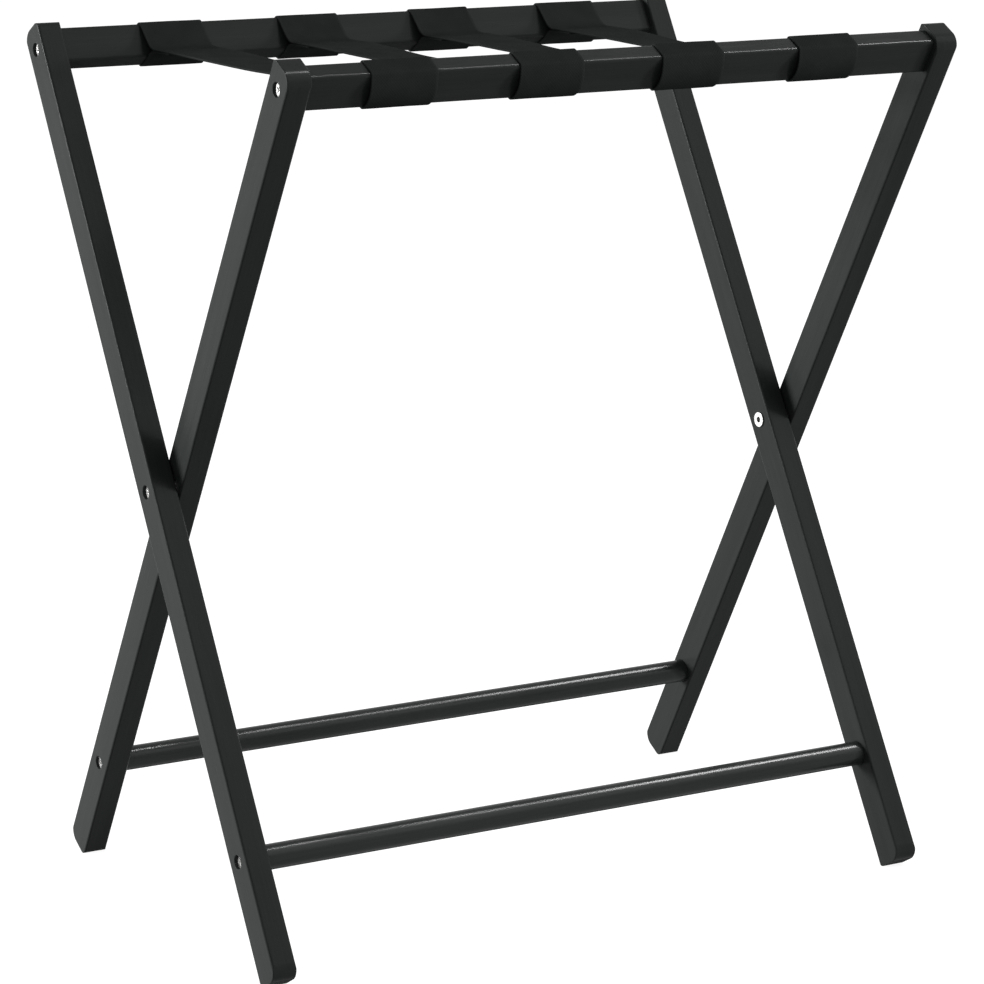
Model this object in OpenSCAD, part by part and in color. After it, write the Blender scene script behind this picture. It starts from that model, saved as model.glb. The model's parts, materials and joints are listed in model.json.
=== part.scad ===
// Folding luggage rack: two identical wooden frames that cross at a pivot, with webbing straps on top.
// X runs along the rails, -Y is the front, +Z is up, and the origin is on the floor under the middle.
// Each frame is drawn upright in its own axes: x along the rail, y outward, z up the leg from the pivot.

/* [Stance] */
// Lean of each leg from the vertical when the rack stands open
lean = 30; // [24:1:34]

/* [Legs] */
// Width of a leg, across its swing
leg_w = 23; // [20:0.5:24.5]
// Thickness of a leg, along the rails
leg_t = 16; // [15:0.5:22]
// Length of a leg
leg_len = 636; // [600:1:720]
// Distance from the middle of a leg down to the pivot
pivot_low = 1; // [0:0.5:20]
// Radius of the corner that faces out at each leg end
corner_out_r = 9; // [4:0.5:11]
// Radius of the corner that faces in at each leg end
corner_in_r = 4; // [2:0.5:6]
// Radius of the eased long edges of a leg
leg_edge_r = 1.2; // [0.5:0.1:2]
// Space between the two legs that cross
side_gap = 1.2; // [0.8:0.1:3]

/* [Rails and stretchers] */
// Length of a rail between its two legs
rail_len = 448; // [420:1:560]
// Height of a rail, along the leg
rail_h = 24; // [20:0.5:32]
// Thickness of a rail
rail_t = 14; // [11:0.5:18]
// Step from the leg's top end down to the rail's top
rail_drop = 3; // [0:0.5:10]
// Radius of the eased edges of a rail
rail_edge_r = 2; // [1:0.25:4]
// Diameter of a round stretcher
stretcher_d = 16; // [12:0.5:17]
// Distance from the foot's end up to the middle of a stretcher
stretcher_up = 77; // [50:1:84]
// Depth of the socket that holds a stretcher's end
socket_depth = 5; // [3:0.5:6]

/* [Screws and pins] */
// Diameter of the recess round a screw or bolt head
recess_d = 9; // [8.5:0.25:10]
// Depth of the head below the face of an outer leg
outer_sink = 1.75; // [1:0.25:3.5]
// Depth of the head below the face of an inner leg
inner_sink = 1.6; // [0.5:0.1:3]
// Thickness of a head
head_t = 2; // [1.5:0.25:2.5]
// Diameter of a screw's shank
screw_d = 4; // [3:0.25:5]
// Length of a screw under its head
screw_len = 44; // [30:1:60]
// Diameter of a wooden pin
pin_d = 5; // [3:0.5:6]
// Length of a wooden pin
pin_len = 24; // [16:1:36]
// Length of a wooden pin that sits in the leg
pin_in_leg = 8; // [5:0.5:10]
// Distance between the two pins of a joint
pin_pitch = 14; // [12:0.5:15]

/* [Pivot] */
// Outer diameter of the sleeve that both legs turn on
sleeve_d = 7; // [6:0.25:7.5]
// Diameter of the thread inside the sleeve
thread_d = 4.2; // [3:0.2:5]
// Diameter of the sleeve's flange
flange_d = 10; // [9:0.5:14]
// Thickness of the sleeve's flange
flange_t = 1; // [0.6:0.1:2]
// Diameter of the washer between the legs
washer_d = 18; // [12:0.5:19]
// Length of the pivot bolt under its head
bolt_len = 20; // [14:1:26]

/* [Straps] */
// Width of the webbing
strap_w = 45; // [38:1:54]
// Thickness of the webbing
strap_t = 1.1; // [0.8:0.1:2]
// Distance from a leg's inner face to the first strap, before the row is shifted
strap_inset = 41.4; // [24:0.1:50]
// Place of the middle of the row of straps along X
strap_shift = -1.5; // [-8:0.5:8]
// Drop from a rail's top inner edge to the upper face of the taut webbing
fold_drop = 15.4; // [12:0.2:19]
// Distance from a rail's top inner edge in to the fold where a strap splits round the rail
fold_in = 17; // [14:0.5:30]
// How far each loop stands off the lower outer edge of its rail
loop_slack = 3; // [0:0.5:6]
// Length of the sewn lap, from the fold inward
lap_len = 28; // [15:1:50]

/* [Hidden] */
// Clearance of a turning fit, on the radius
run_gap = 0.05;
// Clearance of a piece that is glued or driven in, on the radius
seat_gap = 0.05;
// Clearance of the webbing round a rail
cloth_gap = 0.1;
// Clearance left at a blind end and beside the washer
end_gap = 0.1;
// Clearance round a head in its recess
head_gap = 0.3;
// Clearance between a loop and the span, where the model splits the webbing
split_gap = 0.4;
// How far the two layers of a sewn lap press into each other
sewn_in = 0.1;
// Radius of the webbing's middle line where it bends at the fold
bend_r = 4;
strap_count = 4;
// Depth of the drive slots in a head, and their width and length
slot_depth = 1.1;
slot_w = 1.1;
slot_len = 4.6;
// How far a cut runs past the surface that it opens
over = 1;

leg_up = leg_len / 2 + pivot_low;
leg_down = leg_len / 2 - pivot_low;
stretcher_down = leg_down - stretcher_up;
half_w = rail_len / 2 + leg_t + (leg_t + side_gap) / 2;
outer_x = -half_w;
rail_x0 = outer_x + leg_t;
rail_x1 = rail_x0 + rail_len;
inner_x = rail_x1;
frame_x1 = inner_x + leg_t;
rail_top = leg_up - rail_drop;
rail_mid = rail_top - rail_h / 2;
// The foot's inner corner is the lowest point of a leaning leg
pivot_z = leg_down * cos(lean) + leg_w / 2 * sin(lean) - corner_in_r * (cos(lean) + sin(lean) - 1);
head_d = recess_d - 2 * head_gap;
outer_floor = outer_sink + head_t;
inner_floor = inner_sink + head_t;

$fn = 48;

// Places of the two frames
module rear_top() {
    translate([0, 0, pivot_z]) rotate([-lean, 0, 0]) children();
}

module front_top() {
    rotate([0, 0, 180]) rear_top() children();
}

// A cylinder along x that starts at x0
module rod_x(x0, length, d) {
    translate([x0, 0, 0]) rotate([0, 90, 0]) cylinder(h = length, d = d);
}

module rounded_rect(w, h, r) {
    square([w - 2 * r, h], center = true);
    square([w, h - 2 * r], center = true);
    for (sx = [-1, 1], sy = [-1, 1])
        translate([sx * (w / 2 - r), sy * (h / 2 - r)]) circle(r = r);
}

// Legs

// One half of a leg's side outline in the y and z of its frame, from the pivot up to its end
module leg_half(length) {
    translate([-leg_w / 2, -over]) square([leg_w, length - corner_out_r + over]);
    translate([-leg_w / 2, 0]) square([leg_w / 2, length - corner_in_r]);
    translate([-leg_w / 2 + corner_in_r, 0]) square([leg_w - corner_in_r - corner_out_r, length]);
    translate([leg_w / 2 - corner_out_r, length - corner_out_r]) circle(r = corner_out_r);
    translate([-leg_w / 2 + corner_in_r, length - corner_in_r]) circle(r = corner_in_r);
}

module leg_side() {
    leg_half(leg_up);
    rotate(180) leg_half(leg_down);
}

// The outline as a board of the leg's thickness, with its long edges eased
module leg_board(x0) {
    intersection() {
        translate([x0, 0, 0]) rotate([90, 0, 90]) linear_extrude(leg_t) leg_side();
        translate([x0 + leg_t / 2, 0, -leg_down - over])
            linear_extrude(leg_up + leg_down + 2 * over) rounded_rect(leg_t, leg_w, leg_edge_r);
    }
}

// Hole for a screw or bolt: side is -1 where the head is on the -x face, x is that face
module sunk_hole(x, side, z, head_floor, shank_d) {
    inward = -side;
    translate([0, 0, z]) {
        rod_x(inward > 0 ? x - over : x - head_floor, head_floor + over, recess_d);
        rod_x(inward > 0 ? x - over : x - leg_t - over, leg_t + 2 * over, shank_d);
    }
}

// Socket of a stretcher and holes of the rail's pins, in the face that looks at the rail
module rail_side_holes(x, side) {
    pin_depth = pin_in_leg + end_gap;
    translate([0, 0, -stretcher_down])
        rod_x(side > 0 ? x - socket_depth : x - over, socket_depth + over, stretcher_d + 2 * seat_gap);
    for (s = [-1, 1])
        translate([0, 0, rail_mid + s * pin_pitch / 2])
            rod_x(side > 0 ? x - pin_depth : x - over, pin_depth + over, pin_d + 2 * seat_gap);
}

module outer_leg() {
    difference() {
        leg_board(outer_x);
        sunk_hole(outer_x, -1, rail_mid, outer_floor, screw_d + 2 * seat_gap);
        sunk_hole(outer_x, -1, -stretcher_down, outer_floor, screw_d + 2 * seat_gap);
        sunk_hole(outer_x, -1, 0, outer_floor, sleeve_d + 2 * run_gap);
        rail_side_holes(rail_x0, 1);
    }
}

module inner_leg() {
    difference() {
        leg_board(inner_x);
        sunk_hole(frame_x1, 1, rail_mid, inner_floor, screw_d + 2 * seat_gap);
        sunk_hole(frame_x1, 1, -stretcher_down, inner_floor, screw_d + 2 * seat_gap);
        rod_x(inner_x - over, leg_t + 2 * over, sleeve_d + 2 * run_gap);
        rail_side_holes(rail_x1, -1);
    }
}

// Rail and stretcher

module rail() {
    screw_in_rail_0 = screw_len - (leg_t - outer_floor) + end_gap;
    screw_in_rail_1 = screw_len - (leg_t - inner_floor) + end_gap;
    pin_hole = pin_len - pin_in_leg + end_gap;
    difference() {
        translate([rail_x0, 0, rail_mid]) rotate([90, 0, 90])
            linear_extrude(rail_len) rounded_rect(rail_t, rail_h, rail_edge_r);
        translate([0, 0, rail_mid]) {
            rod_x(rail_x0 - over, screw_in_rail_0 + over, screw_d + 2 * seat_gap);
            rod_x(rail_x1 - screw_in_rail_1, screw_in_rail_1 + over, screw_d + 2 * seat_gap);
            for (s = [-1, 1]) translate([0, 0, s * pin_pitch / 2]) {
                rod_x(rail_x0 - over, pin_hole + over, pin_d + 2 * seat_gap);
                rod_x(rail_x1 - pin_hole, pin_hole + over, pin_d + 2 * seat_gap);
            }
        }
    }
}

module stretcher() {
    x0 = rail_x0 - socket_depth;
    x1 = rail_x1 + socket_depth;
    screw_in_0 = screw_len - (leg_t - outer_floor - socket_depth) + end_gap;
    screw_in_1 = screw_len - (leg_t - inner_floor - socket_depth) + end_gap;
    translate([0, 0, -stretcher_down]) difference() {
        rod_x(x0, x1 - x0, stretcher_d);
        rod_x(x0 - over, screw_in_0 + over, screw_d + 2 * seat_gap);
        rod_x(x1 - screw_in_1, screw_in_1 + over, screw_d + 2 * seat_gap);
    }
}

// Screws, pins and pivot hardware

// Two crossed drive slots in the top of a head whose top is at x = 0 and which points to +x
module drive_slots() {
    for (a = [0, 90]) rotate([a, 0, 0])
        translate([(slot_depth - over) / 2, 0, 0]) cube([slot_depth + over, slot_w, slot_len], center = true);
}

// A fastener with its head's top at x = 0, pointing to +x
module headed(shank_d, shank_len, point_len) {
    difference() {
        rod_x(0, head_t, head_d);
        drive_slots();
    }
    rod_x(head_t - slot_depth / 2, shank_len - point_len + slot_depth / 2, shank_d);
    translate([head_t + shank_len - point_len, 0, 0]) rotate([0, 90, 0])
        cylinder(h = point_len, d1 = shank_d, d2 = shank_d / 4);
}

// One screw through each leg of a frame at height z, pointing at each other
module screw_pair(z) {
    translate([outer_x + outer_sink, 0, z]) headed(screw_d, screw_len, screw_d);
    translate([frame_x1 - inner_sink, 0, z]) mirror([1, 0, 0]) headed(screw_d, screw_len, screw_d);
}

module rail_pins() {
    for (s = [-1, 1]) translate([0, 0, rail_mid + s * pin_pitch / 2]) {
        rod_x(rail_x0 - pin_in_leg, pin_len, pin_d);
        rod_x(rail_x1 + pin_in_leg - pin_len, pin_len, pin_d);
    }
}

module pivot_bolt() {
    translate([outer_x + outer_sink, 0, 0]) headed(thread_d - 2 * seat_gap, bolt_len, thread_d / 4);
}

// The sleeve runs from the far face of the other frame's inner leg into the outer leg
module sleeve_nut() {
    flange_x = rail_x0 + side_gap + leg_t + end_gap;
    sleeve_x0 = outer_x + outer_floor + end_gap;
    difference() {
        union() {
            rod_x(flange_x, flange_t, flange_d);
            rod_x(sleeve_x0, flange_x - sleeve_x0 + flange_t / 2, sleeve_d);
        }
        rod_x(sleeve_x0 - over, flange_x + flange_t - sleeve_x0 + 2 * over, thread_d);
    }
}

module pivot_washer() {
    difference() {
        rod_x(rail_x0, side_gap - end_gap, washer_d);
        rod_x(rail_x0 - over, side_gap + 2 * over, sleeve_d + 2 * run_gap);
    }
}

// Straps

// Points of an arc about c, from angle a0 to a1
function arc(c, r, a0, a1, n = 6) =
    [for (i = [0:n]) let (a = a0 + (a1 - a0) * i / n) c + r * [cos(a), sin(a)]];

// Turns a point of the rear-leaning frame's y and z into the rack's, and back
function to_rack(p) = [p[0] * cos(lean) + p[1] * sin(lean), pivot_z - p[0] * sin(lean) + p[1] * cos(lean)];
function to_frame(p) =
    [p[0] * cos(lean) - (p[1] - pivot_z) * sin(lean), p[0] * sin(lean) + (p[1] - pivot_z) * cos(lean)];

function unit(v) = v / norm(v);
function normal(v) = [-v[1], v[0]];
function turned(v, a) = [v[0] * cos(a) - v[1] * sin(a), v[0] * sin(a) + v[1] * cos(a)];

// Points and normals of the middle line where it bends at b, on its way from a to c
function bend(a, b, c, r, n = 6) =
    let (u = unit(b - a), w = unit(c - b), turn = atan2(cross(u, w), u * w), way = sign(turn))
    let (centre = b - r * tan(abs(turn) / 2) * u + way * r * normal(u))
    [for (i = [0:n]) let (m = turned(normal(u), turn * i / n)) [centre - way * r * m, m]];

// Outline of webbing along a middle line, given as points with their normals
function band(line) = concat(
    [for (p = line) p[0] + strap_t / 2 * p[1]],
    [for (i = [len(line) - 1:-1:0]) line[i][0] - strap_t / 2 * line[i][1]]
);

loop_in_r = rail_edge_r + cloth_gap;
loop_out_r = loop_in_r + strap_t;
loop_mid_r = loop_in_r + strap_t / 2;
corner_y = rail_t / 2 - rail_edge_r;
corner_z = rail_h / 2 - rail_edge_r;
top_in_corner = [-corner_y, rail_mid + corner_z];
low_in_corner = [-corner_y, rail_mid - corner_z];
top_out_corner = [corner_y, rail_mid + corner_z];
low_out_corner = [corner_y, rail_mid - corner_z];

// The fold on the middle line of each layer, in the rack's y and z
rail_edge = to_rack([-rail_t / 2, rail_top]);
fold_y = rail_edge[0] - fold_in;
span_top = rail_edge[1] - fold_drop;
upper_fold = [fold_y, span_top - strap_t / 2];
lower_fold = [fold_y, span_top - 3 * strap_t / 2 + sewn_in];

// Angle at which the upper layer leaves the corner's round for the fold, along the tangent
upper_aim = to_frame(upper_fold) - top_in_corner;
leave_angle = atan2(upper_aim[1], upper_aim[0]) + 360 - acos(loop_mid_r / norm(upper_aim));

// The wider round at the loop's lower outer corner, and the angle of the slack side's outer face
slack_rise = 1.2 * loop_slack;
slack_centre = low_out_corner + [loop_slack - slack_rise, slack_rise];
slack_reach = top_out_corner - slack_centre;
slack_angle = atan2(slack_reach[1], slack_reach[0]) - acos(slack_rise / norm(slack_reach));

// Section of the loop: up the bottom, the outer face and the top, open on the inner side
loop_outline = concat(
    [[-corner_y, low_in_corner[1] - loop_out_r]],
    arc(slack_centre, loop_out_r + slack_rise, -90, slack_angle, 10),
    arc(top_out_corner, loop_out_r, slack_angle, 90),
    arc(top_in_corner, loop_out_r, 90, leave_angle),
    arc(top_in_corner, loop_in_r, leave_angle, 90),
    arc(top_out_corner, loop_in_r, 90, slack_angle),
    arc(slack_centre, loop_in_r + slack_rise, slack_angle, -90, 10),
    [[-corner_y, low_in_corner[1] - loop_in_r]]
);

// Starts of the two layers of the span, just clear of the loop's ends
leave_dir = [-sin(leave_angle), cos(leave_angle)];
leave_at = top_in_corner + loop_mid_r * [cos(leave_angle), sin(leave_angle)];
upper_start = to_rack(leave_at + split_gap * leave_dir);
lower_start = to_rack(low_in_corner - [split_gap, loop_mid_r]);

function across(v) = [-v[0], v[1]];
function flip(line) = [for (i = [len(line) - 1:-1:0]) [across(line[i][0]), across(line[i][1])]];

// The upper layer from the rear rail to the middle, and the lower layer up to the end of its lap
upper_half = concat(
    [[upper_start, normal(unit(upper_fold - upper_start))]],
    bend(upper_start, upper_fold, [0, upper_fold[1]], bend_r)
);
lower_half = concat(
    [[lower_start, normal(unit(lower_fold - lower_start))]],
    bend(lower_start, lower_fold, [0, lower_fold[1]], bend_r),
    [[[fold_y - lap_len, lower_fold[1]], [0, -1]]]
);

strap_pitch = (rail_len - leg_t - side_gap - 2 * strap_inset - strap_w) / (strap_count - 1);
function strap_x(i) = strap_shift + (i - (strap_count + 1) / 2) * strap_pitch;

// A strap section of the y and z plane, as wide as the webbing
module webbing(x) {
    translate([x - strap_w / 2, 0, 0]) rotate([90, 0, 90]) linear_extrude(strap_w) children();
}

module rear_loop(i) {
    rear_top() webbing(strap_x(i)) polygon(loop_outline);
}

module front_loop(i) {
    front_top() webbing(-strap_x(i)) polygon(loop_outline);
}

module span(i) {
    webbing(strap_x(i)) {
        polygon(band(concat(upper_half, flip(upper_half))));
        polygon(band(lower_half));
        polygon(band(flip(lower_half)));
    }
}

wood = [0.18, 0.185, 0.18];
steel = [0.78, 0.79, 0.8];
beech = [0.82, 0.68, 0.48];
cloth = [0.1, 0.1, 0.105];

module left_outer_leg() { color(wood) rear_top() outer_leg(); }
module right_inner_leg() { color(wood) rear_top() inner_leg(); }
module rear_rail() { color(wood) rear_top() rail(); }
module front_stretcher() { color(wood) rear_top() stretcher(); }
module rear_rail_screws() { color(steel) rear_top() screw_pair(rail_mid); }
module front_stretcher_screws() { color(steel) rear_top() screw_pair(-stretcher_down); }
module rear_rail_pins() { color(beech) rear_top() rail_pins(); }
module left_pivot_bolt() { color(steel) rear_top() pivot_bolt(); }
module left_sleeve_nut() { color(steel) rear_top() sleeve_nut(); }
module left_pivot_washer() { color(steel) rear_top() pivot_washer(); }

module right_outer_leg() { color(wood) front_top() outer_leg(); }
module left_inner_leg() { color(wood) front_top() inner_leg(); }
module front_rail() { color(wood) front_top() rail(); }
module rear_stretcher() { color(wood) front_top() stretcher(); }
module front_rail_screws() { color(steel) front_top() screw_pair(rail_mid); }
module rear_stretcher_screws() { color(steel) front_top() screw_pair(-stretcher_down); }
module front_rail_pins() { color(beech) front_top() rail_pins(); }
module right_pivot_bolt() { color(steel) front_top() pivot_bolt(); }
module right_sleeve_nut() { color(steel) front_top() sleeve_nut(); }
module right_pivot_washer() { color(steel) front_top() pivot_washer(); }

module strap_1_rear_loop() { color(cloth) rear_loop(1); }
module strap_2_rear_loop() { color(cloth) rear_loop(2); }
module strap_3_rear_loop() { color(cloth) rear_loop(3); }
module strap_4_rear_loop() { color(cloth) rear_loop(4); }
module strap_1_front_loop() { color(cloth) front_loop(1); }
module strap_2_front_loop() { color(cloth) front_loop(2); }
module strap_3_front_loop() { color(cloth) front_loop(3); }
module strap_4_front_loop() { color(cloth) front_loop(4); }
module strap_1_span() { color(cloth) span(1); }
module strap_2_span() { color(cloth) span(2); }
module strap_3_span() { color(cloth) span(3); }
module strap_4_span() { color(cloth) span(4); }

left_outer_leg();
right_inner_leg();
rear_rail();
front_stretcher();
rear_rail_screws();
front_stretcher_screws();
rear_rail_pins();
left_pivot_bolt();
left_sleeve_nut();
left_pivot_washer();
right_outer_leg();
left_inner_leg();
front_rail();
rear_stretcher();
front_rail_screws();
rear_stretcher_screws();
front_rail_pins();
right_pivot_bolt();
right_sleeve_nut();
right_pivot_washer();
strap_1_rear_loop();
strap_2_rear_loop();
strap_3_rear_loop();
strap_4_rear_loop();
strap_1_front_loop();
strap_2_front_loop();
strap_3_front_loop();
strap_4_front_loop();
strap_1_span();
strap_2_span();
strap_3_span();
strap_4_span();
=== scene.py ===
import json
import math

import bmesh
import bpy
import numpy as np
from mathutils import Matrix, Vector, noise


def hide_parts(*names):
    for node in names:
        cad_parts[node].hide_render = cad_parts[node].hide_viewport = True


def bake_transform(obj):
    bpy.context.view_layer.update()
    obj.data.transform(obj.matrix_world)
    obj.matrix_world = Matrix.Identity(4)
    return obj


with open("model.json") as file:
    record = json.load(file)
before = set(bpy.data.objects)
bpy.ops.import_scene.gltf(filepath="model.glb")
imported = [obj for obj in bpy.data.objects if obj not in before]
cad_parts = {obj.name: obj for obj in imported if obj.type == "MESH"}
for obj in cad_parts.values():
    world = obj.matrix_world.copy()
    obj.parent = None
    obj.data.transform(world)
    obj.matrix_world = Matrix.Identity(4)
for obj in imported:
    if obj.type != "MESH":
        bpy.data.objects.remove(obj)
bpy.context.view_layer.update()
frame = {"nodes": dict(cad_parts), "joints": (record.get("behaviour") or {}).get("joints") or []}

scene = bpy.context.scene

# Sizes of the rack, in metres, as the solids have them
LEAN = math.radians(30)
PIVOT_Z = frame["joints"][0]["pos_m"][2]
RAIL_T, RAIL_TOP, RAIL_H, RAIL_R = 0.014, 0.316, 0.024, 0.002
CLOTH_GAP, SLACK = 0.0001, 0.003
WEB_W, WEB_T = 0.045, 0.0011
FOLD_IN, FOLD_DROP, LAP = 0.017, 0.0154, 0.028
STRAP_X = [-0.153, -0.052, 0.049, 0.150]
# How far the middle of each strap hangs, and how much lower its right edge hangs per metre across
STRAP_SAG = [(0.0019, 0.022), (0.0023, 0.035), (0.0025, 0.049), (0.0031, 0.055)]
# The rounds where the span turns up to the rail and where the loop comes back into the lap
SPAN_ROUND, LAP_ROUND = 0.006, 0.0035
# The gap between the lap's two layers
LAP_GAP = 0.00003
# How far under the rail the loop runs past the middle of the rail's last round, before it heads for the lap
UNDER_PAST = 0.001
# The angles round the rail's outer edges where the slack loop leaves and comes back, and its bulge's pull
BULGE_FROM, BULGE_TO, BULGE_PULL = 0.55, -0.75, 3 * SLACK
# Points of the webbing's path are at most this far apart
PATH_STEP = 0.0024
# The rounding along the webbing's two edges
WEB_EDGE_R = 0.0006
# The weave: a rib's width, a pick's length, and where the lighter strip along each edge, a painted highlight,
# starts and is full
RIB, PICK = 0.00095, 0.0019
SELVEDGE_FROM, SELVEDGE_FULL = 0.0022, 0.0012
# Uneven bends of the cloth: fine ones all over, long ones and a crown on the free span, a wave of the edges
FINE_BEND, LONG_BEND, CROWN, EDGE_WAVE = 0.00016, 0.0005, 0.9, 0.00018
# The box seams: how far in from the strap's edges and the lap's end, and how far from its fold
SEAM_IN, SEAM_END = 0.0035, 0.0045
# One stitch: its sizes, how far it stands off the cloth, and its rings' places along it and their thickness
STITCH_PITCH, STITCH_HALF, STITCH_W, STITCH_H, STITCH_DIP = 0.0031, 0.0012, 0.00030, 0.00020, 0.00010
STITCH_PROUD = 0.00002
STITCH_RINGS = ((-1, 0.25), (-0.7, 0.8), (0, 1), (0.7, 0.8), (1, 0.25))
STITCH_SIDES = 6


# Node helpers

def new_material(name):
    m = bpy.data.materials.new(name)
    m.use_nodes = True
    m.node_tree.nodes.clear()
    return m, m.node_tree


def add(tree, kind, values=None, **props):
    n = tree.nodes.new(kind)
    for k, v in props.items():
        setattr(n, k, v)
    for k, v in (values or {}).items():
        n.inputs[k].default_value = v
    return n


def link(tree, a, b):
    tree.links.new(a, b)


def math_node(tree, op, a, b=None, clamp=False):
    n = add(tree, "ShaderNodeMath", operation=op, use_clamp=clamp)
    for i, v in enumerate((a, b)):
        if v is None:
            continue
        if isinstance(v, (int, float)):
            n.inputs[i].default_value = v
        else:
            link(tree, v, n.inputs[i])
    return n.outputs[0]


def ramp(tree, source, low, high, out_low, out_high):
    limits = {"From Min": low, "From Max": high, "To Min": out_low, "To Max": out_high}
    n = add(tree, "ShaderNodeMapRange", limits)
    link(tree, source, n.inputs["Value"])
    return n.outputs["Result"]


def mix_colour(tree, factor, a, b):
    n = add(tree, "ShaderNodeMix", data_type="RGBA")
    for socket, v in ((n.inputs["Factor"], factor), (n.inputs["A"], a), (n.inputs["B"], b)):
        if isinstance(v, (int, float, tuple, list)):
            socket.default_value = v
        else:
            link(tree, v, socket)
    return n.outputs["Result"]


def finish_material(tree, bsdf, normal=None):
    out = add(tree, "ShaderNodeOutputMaterial")
    link(tree, bsdf.outputs[0], out.inputs["Surface"])
    if normal is not None:
        link(tree, normal, bsdf.inputs["Normal"])


# Black lacquered wood, its grain along the stick: the turn brings the stick's length to the material's z

WOOD_DARK = (0.0245, 0.0272, 0.0262, 1)
WOOD_LIGHT = (0.0300, 0.0330, 0.0320, 1)
# The paler colour of the edges: partly worn lacquer, partly a painted highlight
WOOD_WEAR_AND_HIGHLIGHT = (0.0540, 0.0575, 0.0560, 1)
WOOD_IOR = 1.10
# The rods' lacquer is painted a little paler, as painted light for the light falling on the rods, and is
# glossier
ROD_PAINTED_LIGHT, ROD_IOR = 1.16, 1.17


def lacquered_wood(name, turn, painted_light=1.0, ior=WOOD_IOR):
    m, t = new_material(name)
    coords = add(t, "ShaderNodeTexCoord")
    place = add(t, "ShaderNodeMapping", {"Rotation": turn}, vector_type="POINT")
    link(t, coords.outputs["Object"], place.inputs["Vector"])

    long = add(t, "ShaderNodeMapping", {"Scale": (1.0, 1.0, 0.035)})
    link(t, place.outputs[0], long.inputs["Vector"])
    fibre = add(t, "ShaderNodeTexNoise", {"Scale": 900.0, "Detail": 5.0, "Roughness": 0.62})
    link(t, long.outputs[0], fibre.inputs["Vector"])
    swirl = {"Scale": 95.0, "Detail": 3.0, "Roughness": 0.5, "Distortion": 0.35}
    figure = add(t, "ShaderNodeTexNoise", swirl)
    link(t, long.outputs[0], figure.inputs["Vector"])
    cloud = add(t, "ShaderNodeTexNoise", {"Scale": 28.0, "Detail": 4.0, "Roughness": 0.55})
    link(t, place.outputs[0], cloud.inputs["Vector"])
    grit = add(t, "ShaderNodeTexNoise", {"Scale": 2600.0, "Detail": 2.0, "Roughness": 0.5})
    link(t, place.outputs[0], grit.inputs["Vector"])

    # Along the edges the lacquer is painted paler: partly real rubbing, partly a painted highlight where the
    # rounded edges catch the light
    soft = add(t, "ShaderNodeBevel", {"Radius": 0.0011}, samples=6)
    plain = add(t, "ShaderNodeNewGeometry")
    dot = add(t, "ShaderNodeVectorMath", operation="DOT_PRODUCT")
    link(t, soft.outputs[0], dot.inputs[0])
    link(t, plain.outputs["Normal"], dot.inputs[1])
    edge = ramp(t, dot.outputs["Value"], 0.985, 0.85, 0.0, 1.0)
    rub_and_highlight = math_node(t, "MULTIPLY", edge, ramp(t, cloud.outputs["Fac"], 0.42, 0.62, 0.15, 1.0), clamp=True)

    tone = math_node(t, "ADD", math_node(t, "MULTIPLY", fibre.outputs["Fac"], 0.45),
                     math_node(t, "MULTIPLY", figure.outputs["Fac"], 0.55))
    # A factor above 1 lightens this copy of the lacquer, as painted light
    dark, light = ([c * painted_light for c in shade[:3]] + [1] for shade in (WOOD_DARK, WOOD_LIGHT))
    base = mix_colour(t, ramp(t, tone, 0.36, 0.64, 0.0, 1.0), dark, light)
    worn_and_highlit = mix_colour(t, math_node(t, "MULTIPLY", rub_and_highlight, 0.55), base, WOOD_WEAR_AND_HIGHLIGHT)

    bsdf = add(t, "ShaderNodeBsdfPrincipled", {"IOR": ior})
    link(t, worn_and_highlit, bsdf.inputs["Base Color"])
    rough = math_node(t, "ADD", ramp(t, cloud.outputs["Fac"], 0.3, 0.7, 0.18, 0.24),
                      ramp(t, fibre.outputs["Fac"], 0.3, 0.7, 0.0, 0.05))
    # Sprayed from above, the lacquer stays dull on the undersides
    facing = add(t, "ShaderNodeSeparateXYZ")
    link(t, coords.outputs["Normal"], facing.inputs[0])
    dull = ramp(t, facing.outputs["Z"], -0.62, -0.82, 0.0, 0.55)
    link(t, math_node(t, "ADD", rough, dull, clamp=True), bsdf.inputs["Roughness"])

    height = math_node(t, "ADD", math_node(t, "MULTIPLY", fibre.outputs["Fac"], 0.7),
                       math_node(t, "MULTIPLY", figure.outputs["Fac"], 0.5))
    height = math_node(t, "ADD", height, math_node(t, "MULTIPLY", grit.outputs["Fac"], 0.12))
    bump = add(t, "ShaderNodeBump", {"Strength": 0.22, "Distance": 0.00012})
    link(t, height, bump.inputs["Height"])
    link(t, soft.outputs[0], bump.inputs["Normal"])
    finish_material(t, bsdf, bump.outputs[0])
    return m


def bare_wood():
    m, t = new_material("hidden_pin_wood")
    coords = add(t, "ShaderNodeTexCoord")
    long = add(t, "ShaderNodeMapping", {"Scale": (0.05, 1.0, 1.0)})
    link(t, coords.outputs["Object"], long.inputs["Vector"])
    grain = add(t, "ShaderNodeTexNoise", {"Scale": 900.0, "Detail": 4.0})
    link(t, long.outputs[0], grain.inputs["Vector"])
    bsdf = add(t, "ShaderNodeBsdfPrincipled", {"Roughness": 0.7})
    colour = mix_colour(t, grain.outputs["Fac"], (0.55, 0.38, 0.22, 1), (0.8, 0.62, 0.42, 1))
    link(t, colour, bsdf.inputs["Base Color"])
    bump = add(t, "ShaderNodeBump", {"Strength": 0.4, "Distance": 0.0001})
    link(t, grain.outputs["Fac"], bump.inputs["Height"])
    finish_material(t, bsdf, bump.outputs[0])
    return m


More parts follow.
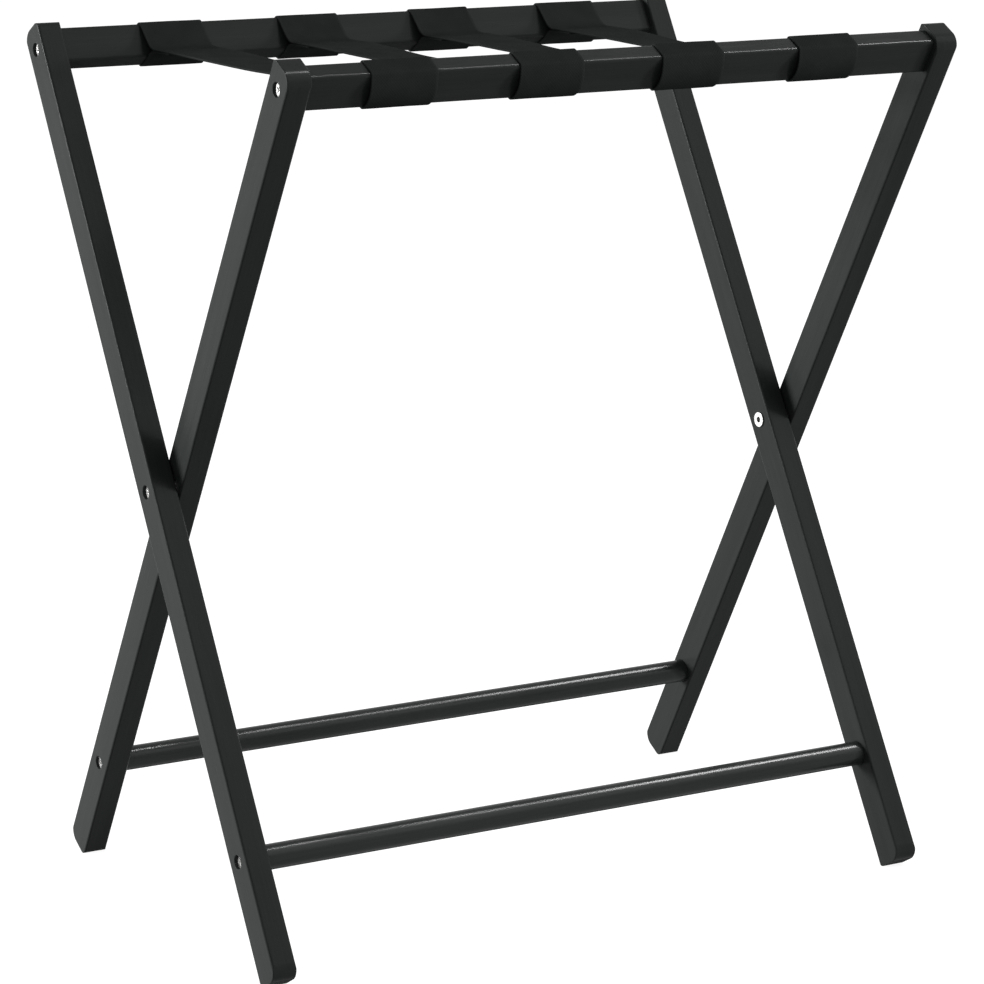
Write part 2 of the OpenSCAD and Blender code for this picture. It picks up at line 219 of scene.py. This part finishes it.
def nickel():
    m, t = new_material("nickel_plate")
    coords = add(t, "ShaderNodeTexCoord")
    turned = add(t, "ShaderNodeTexNoise", {"Scale": 2400.0, "Detail": 3.0})
    link(t, coords.outputs["Object"], turned.inputs["Vector"])
    marks = add(t, "ShaderNodeTexNoise", {"Scale": 350.0, "Detail": 4.0, "Roughness": 0.6})
    link(t, coords.outputs["Object"], marks.inputs["Vector"])
    soft = add(t, "ShaderNodeBevel", {"Radius": 0.00035}, samples=6)
    bsdf = add(t, "ShaderNodeBsdfPrincipled", {"Metallic": 1.0})
    colour = mix_colour(t, marks.outputs["Fac"], (0.62, 0.62, 0.61, 1), (0.80, 0.80, 0.79, 1))
    link(t, colour, bsdf.inputs["Base Color"])
    link(t, ramp(t, marks.outputs["Fac"], 0.3, 0.7, 0.2, 0.36), bsdf.inputs["Roughness"])
    bump = add(t, "ShaderNodeBump", {"Strength": 0.2, "Distance": 0.00004})
    link(t, turned.outputs["Fac"], bump.inputs["Height"])
    link(t, soft.outputs[0], bump.inputs["Normal"])
    finish_material(t, bsdf, bump.outputs[0])
    return m


# Black webbing: ribs of warp yarn along the strap, each crossed by the weft half a pick later than the last

# The webbing's colour in the grooves between yarns, darkened as painted shade, and on the yarns' crowns,
# lightened as a painted highlight
WEB_SHADED_GROOVE = (0.0174, 0.0190, 0.0186, 1)
WEB_LIT_CROWN = (0.0296, 0.0324, 0.0317, 1)
# Pale dust, which also paints the highlight along the woven edges
WEB_DUST_AND_EDGE_HIGHLIGHT = (0.0350, 0.0378, 0.0372, 1)


def webbing_cloth():
    m, t = new_material("black_webbing")
    uv = add(t, "ShaderNodeUVMap", uv_map="web")
    parts = add(t, "ShaderNodeSeparateXYZ")
    link(t, uv.outputs[0], parts.inputs[0])
    along, across = parts.outputs["X"], parts.outputs["Y"]

    yarn = math_node(t, "DIVIDE", across, RIB)
    row = math_node(t, "FLOOR", yarn)
    inside = math_node(t, "SUBTRACT", math_node(t, "MULTIPLY", math_node(t, "FRACT", yarn), 2.0), 1.0)
    swell = math_node(t, "SUBTRACT", 1.0, math_node(t, "MULTIPLY", inside, inside), clamp=True)
    phase = math_node(t, "ADD", math_node(t, "DIVIDE", along, PICK), math_node(t, "MULTIPLY", row, 0.5))
    wave = math_node(t, "SINE", math_node(t, "MULTIPLY", phase, 2 * math.pi))
    lift = ramp(t, wave, -1.0, 1.0, 0.25, 1.0)
    height = math_node(t, "MULTIPLY", math_node(t, "SQRT", swell), lift)

    fuzz = add(t, "ShaderNodeTexNoise", {"Scale": 1400.0, "Detail": 3.0})
    drift = add(t, "ShaderNodeTexNoise", {"Scale": 60.0, "Detail": 3.0})
    coords = add(t, "ShaderNodeTexCoord")
    link(t, coords.outputs["Object"], fuzz.inputs["Vector"])
    link(t, coords.outputs["Object"], drift.inputs["Vector"])

    # The strip along each woven edge is painted lighter: a painted highlight where the edges catch more light
    from_middle = math_node(t, "ABSOLUTE", math_node(t, "SUBTRACT", across, WEB_W / 2))
    selvedge_highlight = ramp(t, from_middle, WEB_W / 2 - SELVEDGE_FROM, WEB_W / 2 - SELVEDGE_FULL, 0.0, 1.0)

    dusty = math_node(t, "MULTIPLY", ramp(t, drift.outputs["Fac"], 0.35, 0.65, 0.0, 1.0), 0.35)
    # By the weave's height: painted shade in the grooves, a painted highlight on the crowns
    colour = mix_colour(t, height, WEB_SHADED_GROOVE, WEB_LIT_CROWN)
    colour = mix_colour(t, dusty, colour, WEB_DUST_AND_EDGE_HIGHLIGHT)
    colour = mix_colour(t, math_node(t, "MULTIPLY", selvedge_highlight, 0.4), colour, WEB_DUST_AND_EDGE_HIGHLIGHT)
    faint = {"Specular IOR Level": 0.0, "Sheen Weight": 0.005, "Sheen Roughness": 0.5}
    bsdf = add(t, "ShaderNodeBsdfPrincipled", faint)
    link(t, colour, bsdf.inputs["Base Color"])
    link(t, ramp(t, height, 0.0, 1.0, 0.75, 0.6), bsdf.inputs["Roughness"])
    total = math_node(t, "ADD", height, math_node(t, "MULTIPLY", fuzz.outputs["Fac"], 0.35))
    bump = add(t, "ShaderNodeBump", {"Strength": 0.45, "Distance": 0.00012})
    link(t, total, bump.inputs["Height"])
    finish_material(t, bsdf, bump.outputs[0])
    return m


def thread():
    m, t = new_material("black_thread")
    coords = add(t, "ShaderNodeTexCoord")
    twist = add(t, "ShaderNodeTexNoise", {"Scale": 3000.0, "Detail": 2.0})
    link(t, coords.outputs["Object"], twist.inputs["Vector"])
    bsdf = add(t, "ShaderNodeBsdfPrincipled", {"Specular IOR Level": 0.04})
    colour = mix_colour(t, twist.outputs["Fac"], (0.012, 0.012, 0.013, 1), (0.034, 0.034, 0.035, 1))
    link(t, colour, bsdf.inputs["Base Color"])
    link(t, ramp(t, twist.outputs["Fac"], 0.3, 0.7, 0.6, 0.8), bsdf.inputs["Roughness"])
    bump = add(t, "ShaderNodeBump", {"Strength": 0.6, "Distance": 0.0001})
    link(t, twist.outputs["Fac"], bump.inputs["Height"])
    finish_material(t, bsdf, bump.outputs[0])
    return m


# Materials of the solids that stay

wood_rear = lacquered_wood("lacquer_rear_leaning", (LEAN, 0, 0))
wood_front = lacquered_wood("lacquer_front_leaning", (-LEAN, 0, 0))
wood_cross = lacquered_wood("lacquer_crosswise", (0, math.radians(90), 0))
# The rods' copy of the lacquer is painted paler, as painted light
wood_round = lacquered_wood("lacquer_round_rods", (0, math.radians(90), 0), ROD_PAINTED_LIGHT, ROD_IOR)
steel = nickel()
pin_wood = bare_wood()
for name, obj in frame["nodes"].items():
    if "rail_pins" in name:
        chosen = pin_wood
    elif any(w in name for w in ("screws", "bolt", "nut", "washer")):
        chosen = steel
    elif name in ("left_outer_leg", "right_inner_leg"):
        chosen = wood_rear
    elif name in ("right_outer_leg", "left_inner_leg"):
        chosen = wood_front
    elif "stretcher" in name:
        chosen = wood_round
    else:
        chosen = wood_cross
    obj.data.materials.clear()
    obj.data.materials.append(chosen)


# The webbing's middle line in the y and z of the rack

def to_rack(p):
    """From the leaning frame's own y and z, with the pivot at the origin, to the rack's."""
    y, z = p
    return np.array([
        y * math.cos(LEAN) + z * math.sin(LEAN),
        PIVOT_Z - y * math.sin(LEAN) + z * math.cos(LEAN),
    ])


def to_frame(p):
    """The other way round."""
    y, z = p[0], p[1] - PIVOT_Z
    return np.array([y * math.cos(LEAN) - z * math.sin(LEAN), y * math.sin(LEAN) + z * math.cos(LEAN)])


def direction(a):
    return np.array([math.cos(a), math.sin(a)])


def arc(centre, r, a0, a1, n=14):
    """Points of an arc laid out in the leaning frame, as places in the rack."""
    return [to_rack(centre + r * direction(a)) for a in np.linspace(a0, a1, n)]


def curve(p0, p1, p2, p3, n=18):
    """A smooth curve from p0 towards p1, and from p2's side into p3."""
    weights = [((1 - s) ** 3, 3 * s * (1 - s) ** 2, 3 * s * s * (1 - s), s**3) for s in np.linspace(0, 1, n)]
    return [to_rack(a * p0 + b * p1 + c * p2 + d * p3) for a, b, c, d in weights]


def rounded(points, r, n=10):
    """The corners of a line of points, each cut back by r and rounded."""
    out = [points[0]]
    for a, b, c in zip(points, points[1:], points[2:]):
        u, w = (a - b) / np.linalg.norm(a - b), (c - b) / np.linalg.norm(c - b)
        p, q = b + u * r, b + w * r
        out += [(1 - s) ** 2 * p + 2 * s * (1 - s) * b + s * s * q for s in np.linspace(0, 1, n)]
    return out + [points[-1]]


def rear_half():
    """From the middle of the rack over the rear rail, under it and back to the end of the lap."""
    r = RAIL_R + CLOTH_GAP + WEB_T / 2
    rail_mid = RAIL_TOP - RAIL_H / 2
    cy, cz = RAIL_T / 2 - RAIL_R, RAIL_H / 2 - RAIL_R
    top_in, top_out = np.array([-cy, rail_mid + cz]), np.array([cy, rail_mid + cz])
    low_in, low_out = np.array([-cy, rail_mid - cz]), np.array([cy, rail_mid - cz])
    edge = to_rack((-RAIL_T / 2, RAIL_TOP))
    fold_y, top = edge[0] - FOLD_IN, edge[1] - FOLD_DROP
    upper, lower = np.array([fold_y, top - WEB_T / 2]), np.array([fold_y, top - 1.5 * WEB_T - LAP_GAP])
    aim = to_frame(upper) - top_in
    leave = math.atan2(aim[1], aim[0]) + 2 * math.pi - math.acos(r / np.linalg.norm(aim))
    # The slack outer side bulges off the rail's face and is taut again round its lower edge
    start, end = top_out + r * direction(BULGE_FROM), low_out + r * direction(BULGE_TO)
    handle = BULGE_PULL * direction(BULGE_FROM - math.pi / 2)
    far_handle = BULGE_PULL * direction(BULGE_TO - math.pi / 2)
    over = arc(top_in, r, leave, math.pi / 2) + arc(top_out, r, math.pi / 2, BULGE_FROM)
    over += curve(start, start + handle, end - far_handle, end)[1:-1]
    over += arc(low_out, r, BULGE_TO, -math.pi / 2)
    under = to_rack(low_in - np.array([UNDER_PAST, r]))
    first = rounded([np.array([0.0, upper[1]]), upper, over[0]], SPAN_ROUND)
    last = rounded([under, lower, np.array([fold_y - LAP, lower[1]])], LAP_ROUND)
    return first[:-1] + over + last, top, fold_y


def spaced(points, step):
    """The points of a line, with others between them so that none are more than a step apart."""
    p = np.array(points)
    keep = [p[0]]
    for a, b in zip(p, p[1:]):
        d = np.linalg.norm(b - a)
        if d < 1e-7:
            continue
        n = max(1, int(math.ceil(d / step)))
        keep += [a + (b - a) * k / n for k in range(1, n + 1)]
    return np.array(keep)


half, BAND_TOP, FOLD_Y = rear_half()
half = spaced(half, PATH_STEP)
path = np.vstack([(half * np.array([-1, 1]))[::-1], half[1:]])
steps = np.linalg.norm(np.diff(path, axis=0), axis=1)
run = np.concatenate([[0], np.cumsum(steps)])

tangent = np.gradient(path, axis=0)
tangent /= np.linalg.norm(tangent, axis=1)[:, None]
# On its way from the front to the rear over the top, the webbing's upper side is to the left
normals = np.stack([-tangent[:, 1], tangent[:, 0]], axis=1)


def web_section():
    """Outline of the webbing's section, as places across and up."""
    w, h, r = WEB_W / 2, WEB_T / 2, WEB_EDGE_R
    top = [(x, h) for x in np.linspace(-w + r, w - r, 25)]
    right = [(w - r + r * math.sin(a), h - r + r * math.cos(a)) for a in np.radians([30, 60, 90])]
    right += [(w - r + r * math.sin(a), -h + r + r * math.cos(a)) for a in np.radians([90, 120, 150])]
    low = [(-x, -h) for x, _ in top]
    left = [(-x, -z) for x, z in right]
    return top + right + low + left


SECTION = web_section()


def web_strap(index, x0):
    """One strap, as a band along the path with small uneven bends of its own."""
    seed = Vector((index * 13.7, index * 5.1, 0))
    sag, fall = STRAP_SAG[index - 1]
    bm = bmesh.new()
    layer = bm.loops.layers.uv.new("web")
    rings = []
    for p, n, s in zip(path, normals, run):
        # Only the level stretch between the two laps hangs
        free = max(0.0, 1 - abs(p[0]) / (FOLD_Y - LAP)) if n[1] > 0.99 else 0.0
        hang = (1 - (1 - free) ** 2) ** 2
        ring = []
        for x, h in SECTION:
            lift = FINE_BEND * noise.noise(Vector((x * 45, s * 28, 0)) + seed)
            lift += free * (LONG_BEND * noise.noise(Vector((x * 18, s * 9, 3)) + seed) - CROWN * x * x)
            lift -= hang * (sag + fall * x)
            side = EDGE_WAVE * noise.noise(Vector((0, s * 60, 7)) + seed) * (1 if x > 0 else -1)
            ring.append(bm.verts.new((x0 + x + side, p[0] + n[0] * (h + lift), p[1] + n[1] * (h + lift))))
        rings.append(ring)
    count = len(SECTION)
    for k in range(len(rings) - 1):
        for j in range(count):
            a, b = rings[k], rings[k + 1]
            f = bm.faces.new((a[j], a[(j + 1) % count], b[(j + 1) % count], b[j]))
            f.smooth = True
            values = ((run[k], SECTION[j][0]), (run[k], SECTION[(j + 1) % count][0]),
                      (run[k + 1], SECTION[(j + 1) % count][0]), (run[k + 1], SECTION[j][0]))
            for loop, (u, v) in zip(f.loops, values):
                loop[layer].uv = (u, v + WEB_W / 2)
    for ring, k in ((rings[0], 0), (rings[-1], len(rings) - 1)):
        f = bm.faces.new(ring if k else ring[::-1])
        for loop in f.loops:
            loop[layer].uv = (run[k], WEB_W / 2)
    bmesh.ops.recalc_face_normals(bm, faces=bm.faces)
    mesh = bpy.data.meshes.new(f"strap_{index}")
    bm.to_mesh(mesh)
    bm.free()
    mesh.materials.append(cloth)
    obj = bpy.data.objects.new(f"strap_{index}", mesh)
    scene.collection.objects.link(obj)
    return obj


def stitch_marks():
    """The stitches of one box seam: x from the strap's middle, y from the rack's, and if it lies crosswise."""
    half_x, y0, y1 = WEB_W / 2 - SEAM_IN, FOLD_Y - LAP + SEAM_IN, FOLD_Y - SEAM_END
    marks = []
    for y in (y0, y1):
        for x in np.arange(-half_x + STITCH_PITCH / 2, half_x, STITCH_PITCH):
            marks.append((x, y, True))
    for x in (-half_x, half_x):
        for y in np.arange(y0 + STITCH_PITCH / 2, y1, STITCH_PITCH):
            marks.append((x, y, False))
    return marks


def web_stitches(index, x0):
    """The two box seams of a strap, on both of its sides."""
    bm = bmesh.new()
    top, low = BAND_TOP + STITCH_PROUD, BAND_TOP - 2 * WEB_T - LAP_GAP - STITCH_PROUD
    for side in (-1, 1):
        for x, y, crosswise in stitch_marks():
            for z, up in ((top, 1), (low, -1)):
                rings = []
                for s, r in STITCH_RINGS:
                    ring = []
                    for b in range(STITCH_SIDES):
                        angle = 2 * math.pi * b / STITCH_SIDES
                        wide = STITCH_W * r * math.cos(angle)
                        high = STITCH_H * r * math.sin(angle) - STITCH_DIP * s * s * up
                        run_on = STITCH_HALF * s
                        dx, dy = (run_on, wide) if crosswise else (wide, run_on)
                        ring.append(bm.verts.new((x0 + x + dx, side * y + dy, z + high)))
                    rings.append(ring)
                for p, q in zip(rings, rings[1:]):
                    for b in range(STITCH_SIDES):
                        c = (b + 1) % STITCH_SIDES
                        bm.faces.new((p[b], p[c], q[c], q[b])).smooth = True
                bm.faces.new(rings[0][::-1])
                bm.faces.new(rings[-1])
    bmesh.ops.recalc_face_normals(bm, faces=bm.faces)
    mesh = bpy.data.meshes.new(f"strap_{index}_stitches")
    bm.to_mesh(mesh)
    bm.free()
    mesh.materials.append(sewing)
    obj = bpy.data.objects.new(f"strap_{index}_stitches", mesh)
    scene.collection.objects.link(obj)
    return obj


cloth = webbing_cloth()
sewing = thread()
for i, x in enumerate(STRAP_X, 1):
    strap = web_strap(i, x)
    seams = web_stitches(i, x)
    for piece in (strap, seams):
        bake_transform(piece)
    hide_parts(f"strap_{i}_rear_loop", f"strap_{i}_front_loop", f"strap_{i}_span")


# Floor and world: white for the camera and in reflections, plain for the light they give

WORLD_LIGHT = 0.27
FLOOR_MATT, FLOOR_SHADE, FLOOR_GLOW = 0.30, 0.40, 0.89


def ray_share(tree):
    """1 for the rays of the camera, reflections and transmission, 0 for those that only carry light."""
    rays = add(tree, "ShaderNodeLightPath").outputs
    seen = math_node(tree, "ADD", rays["Is Camera Ray"], rays["Is Glossy Ray"], clamp=True)
    return math_node(tree, "ADD", seen, rays["Is Transmission Ray"], clamp=True)


world = bpy.data.worlds.new("studio")
scene.world = world
world.use_nodes = True
wt = world.node_tree
wt.nodes.clear()
seen_white = add(wt, "ShaderNodeBackground", {"Color": (1, 1, 1, 1), "Strength": 1.0})
gives = add(wt, "ShaderNodeBackground", {"Color": (1, 1, 1, 1), "Strength": WORLD_LIGHT})
both = add(wt, "ShaderNodeMixShader")
link(wt, ray_share(wt), both.inputs[0])
link(wt, gives.outputs[0], both.inputs[1])
link(wt, seen_white.outputs[0], both.inputs[2])
link(wt, both.outputs[0], add(wt, "ShaderNodeOutputWorld").inputs["Surface"])

bpy.ops.mesh.primitive_plane_add(size=40, location=(0, 0, 0))
floor = bpy.context.object
floor.name = "floor"
fm, ft = new_material("pale_floor")
matt = add(ft, "ShaderNodeBsdfDiffuse", {"Color": (FLOOR_MATT, FLOOR_MATT, FLOOR_MATT, 1)})
glow = add(ft, "ShaderNodeEmission", {"Color": (1, 1, 1, 1), "Strength": FLOOR_GLOW})
shade = add(ft, "ShaderNodeBsdfDiffuse", {"Color": (FLOOR_SHADE, FLOOR_SHADE, FLOOR_SHADE, 1)})
white = add(ft, "ShaderNodeAddShader")
link(ft, glow.outputs[0], white.inputs[0])
link(ft, shade.outputs[0], white.inputs[1])
choose = add(ft, "ShaderNodeMixShader")
link(ft, ray_share(ft), choose.inputs[0])
link(ft, matt.outputs[0], choose.inputs[1])
link(ft, white.outputs[0], choose.inputs[2])
link(ft, choose.outputs[0], add(ft, "ShaderNodeOutputMaterial").inputs["Surface"])
floor.data.materials.append(fm)


LAMP_TARGET = (0, 0, 0.3)


def lamp(name, toward, distance, width, height, power):
    """An oblong lamp in that direction from the target, facing it."""
    data = bpy.data.lights.new(name, "AREA")
    data.shape, data.size, data.size_y, data.energy = "RECTANGLE", width, height, power
    obj = bpy.data.objects.new(name, data)
    scene.collection.objects.link(obj)
    d = Vector(toward).normalized()
    obj.location = Vector(LAMP_TARGET) + d * distance
    obj.rotation_euler = d.to_track_quat("Z", "Y").to_euler()
    return obj


lamp("wide_left", (-0.80, 0.58, 0.15), 7.0, 2.5, 2.5, 800)
lamp("wide_top", (0.50, -0.55, 0.67), 3.0, 2.0, 2.0, 29)
lamp("key_right", (0.852, -0.506, 0.12), 6.0, 0.9, 0.9, 158).visible_glossy = False
# Narrow lamps that only show as a shine along the front rail, the rods and the left inner leg's end
edges = bpy.data.collections.new("shining_edges")
for name in ("front_rail", "front_stretcher", "rear_stretcher", "left_inner_leg"):
    edges.objects.link(frame["nodes"][name])
for narrow in (
    lamp("edge_top", (0.482, -0.077, 0.873), 2.85, 0.6, 0.44, 16),
    lamp("edge_rods", (0.609, -0.079, 0.789), 3.15, 0.7, 0.6, 124),
    lamp("edge_end", (0.39, -0.06, 0.92), 2.7, 0.12, 0.12, 28),
):
    narrow.visible_diffuse = False
    narrow.light_linking.receiver_collection = edges


# Camera, fitted to the edges of the photographed rack

CAMERA_PLACE, LENS = (-1.1953, -2.0319, 0.75787), 133.88
cam_data = bpy.data.cameras.new("camera")
cam_data.sensor_width, cam_data.sensor_fit, cam_data.lens = 36.0, "HORIZONTAL", LENS
camera = bpy.data.objects.new("camera", cam_data)
scene.collection.objects.link(camera)
yaw, pitch, roll = math.radians(30.509), math.radians(-12.119), math.radians(-0.095)
forward = Vector((math.sin(yaw) * math.cos(pitch), math.cos(yaw) * math.cos(pitch), math.sin(pitch)))
right = Vector((math.cos(yaw), -math.sin(yaw), 0))
up = right.cross(forward)
right, up = math.cos(roll) * right + math.sin(roll) * up, -math.sin(roll) * right + math.cos(roll) * up
turned = Matrix((right, up, -forward)).transposed().to_4x4()
camera.matrix_world = Matrix.Translation(CAMERA_PLACE) @ turned
scene.camera = camera
scene.view_settings.view_transform = "Standard"
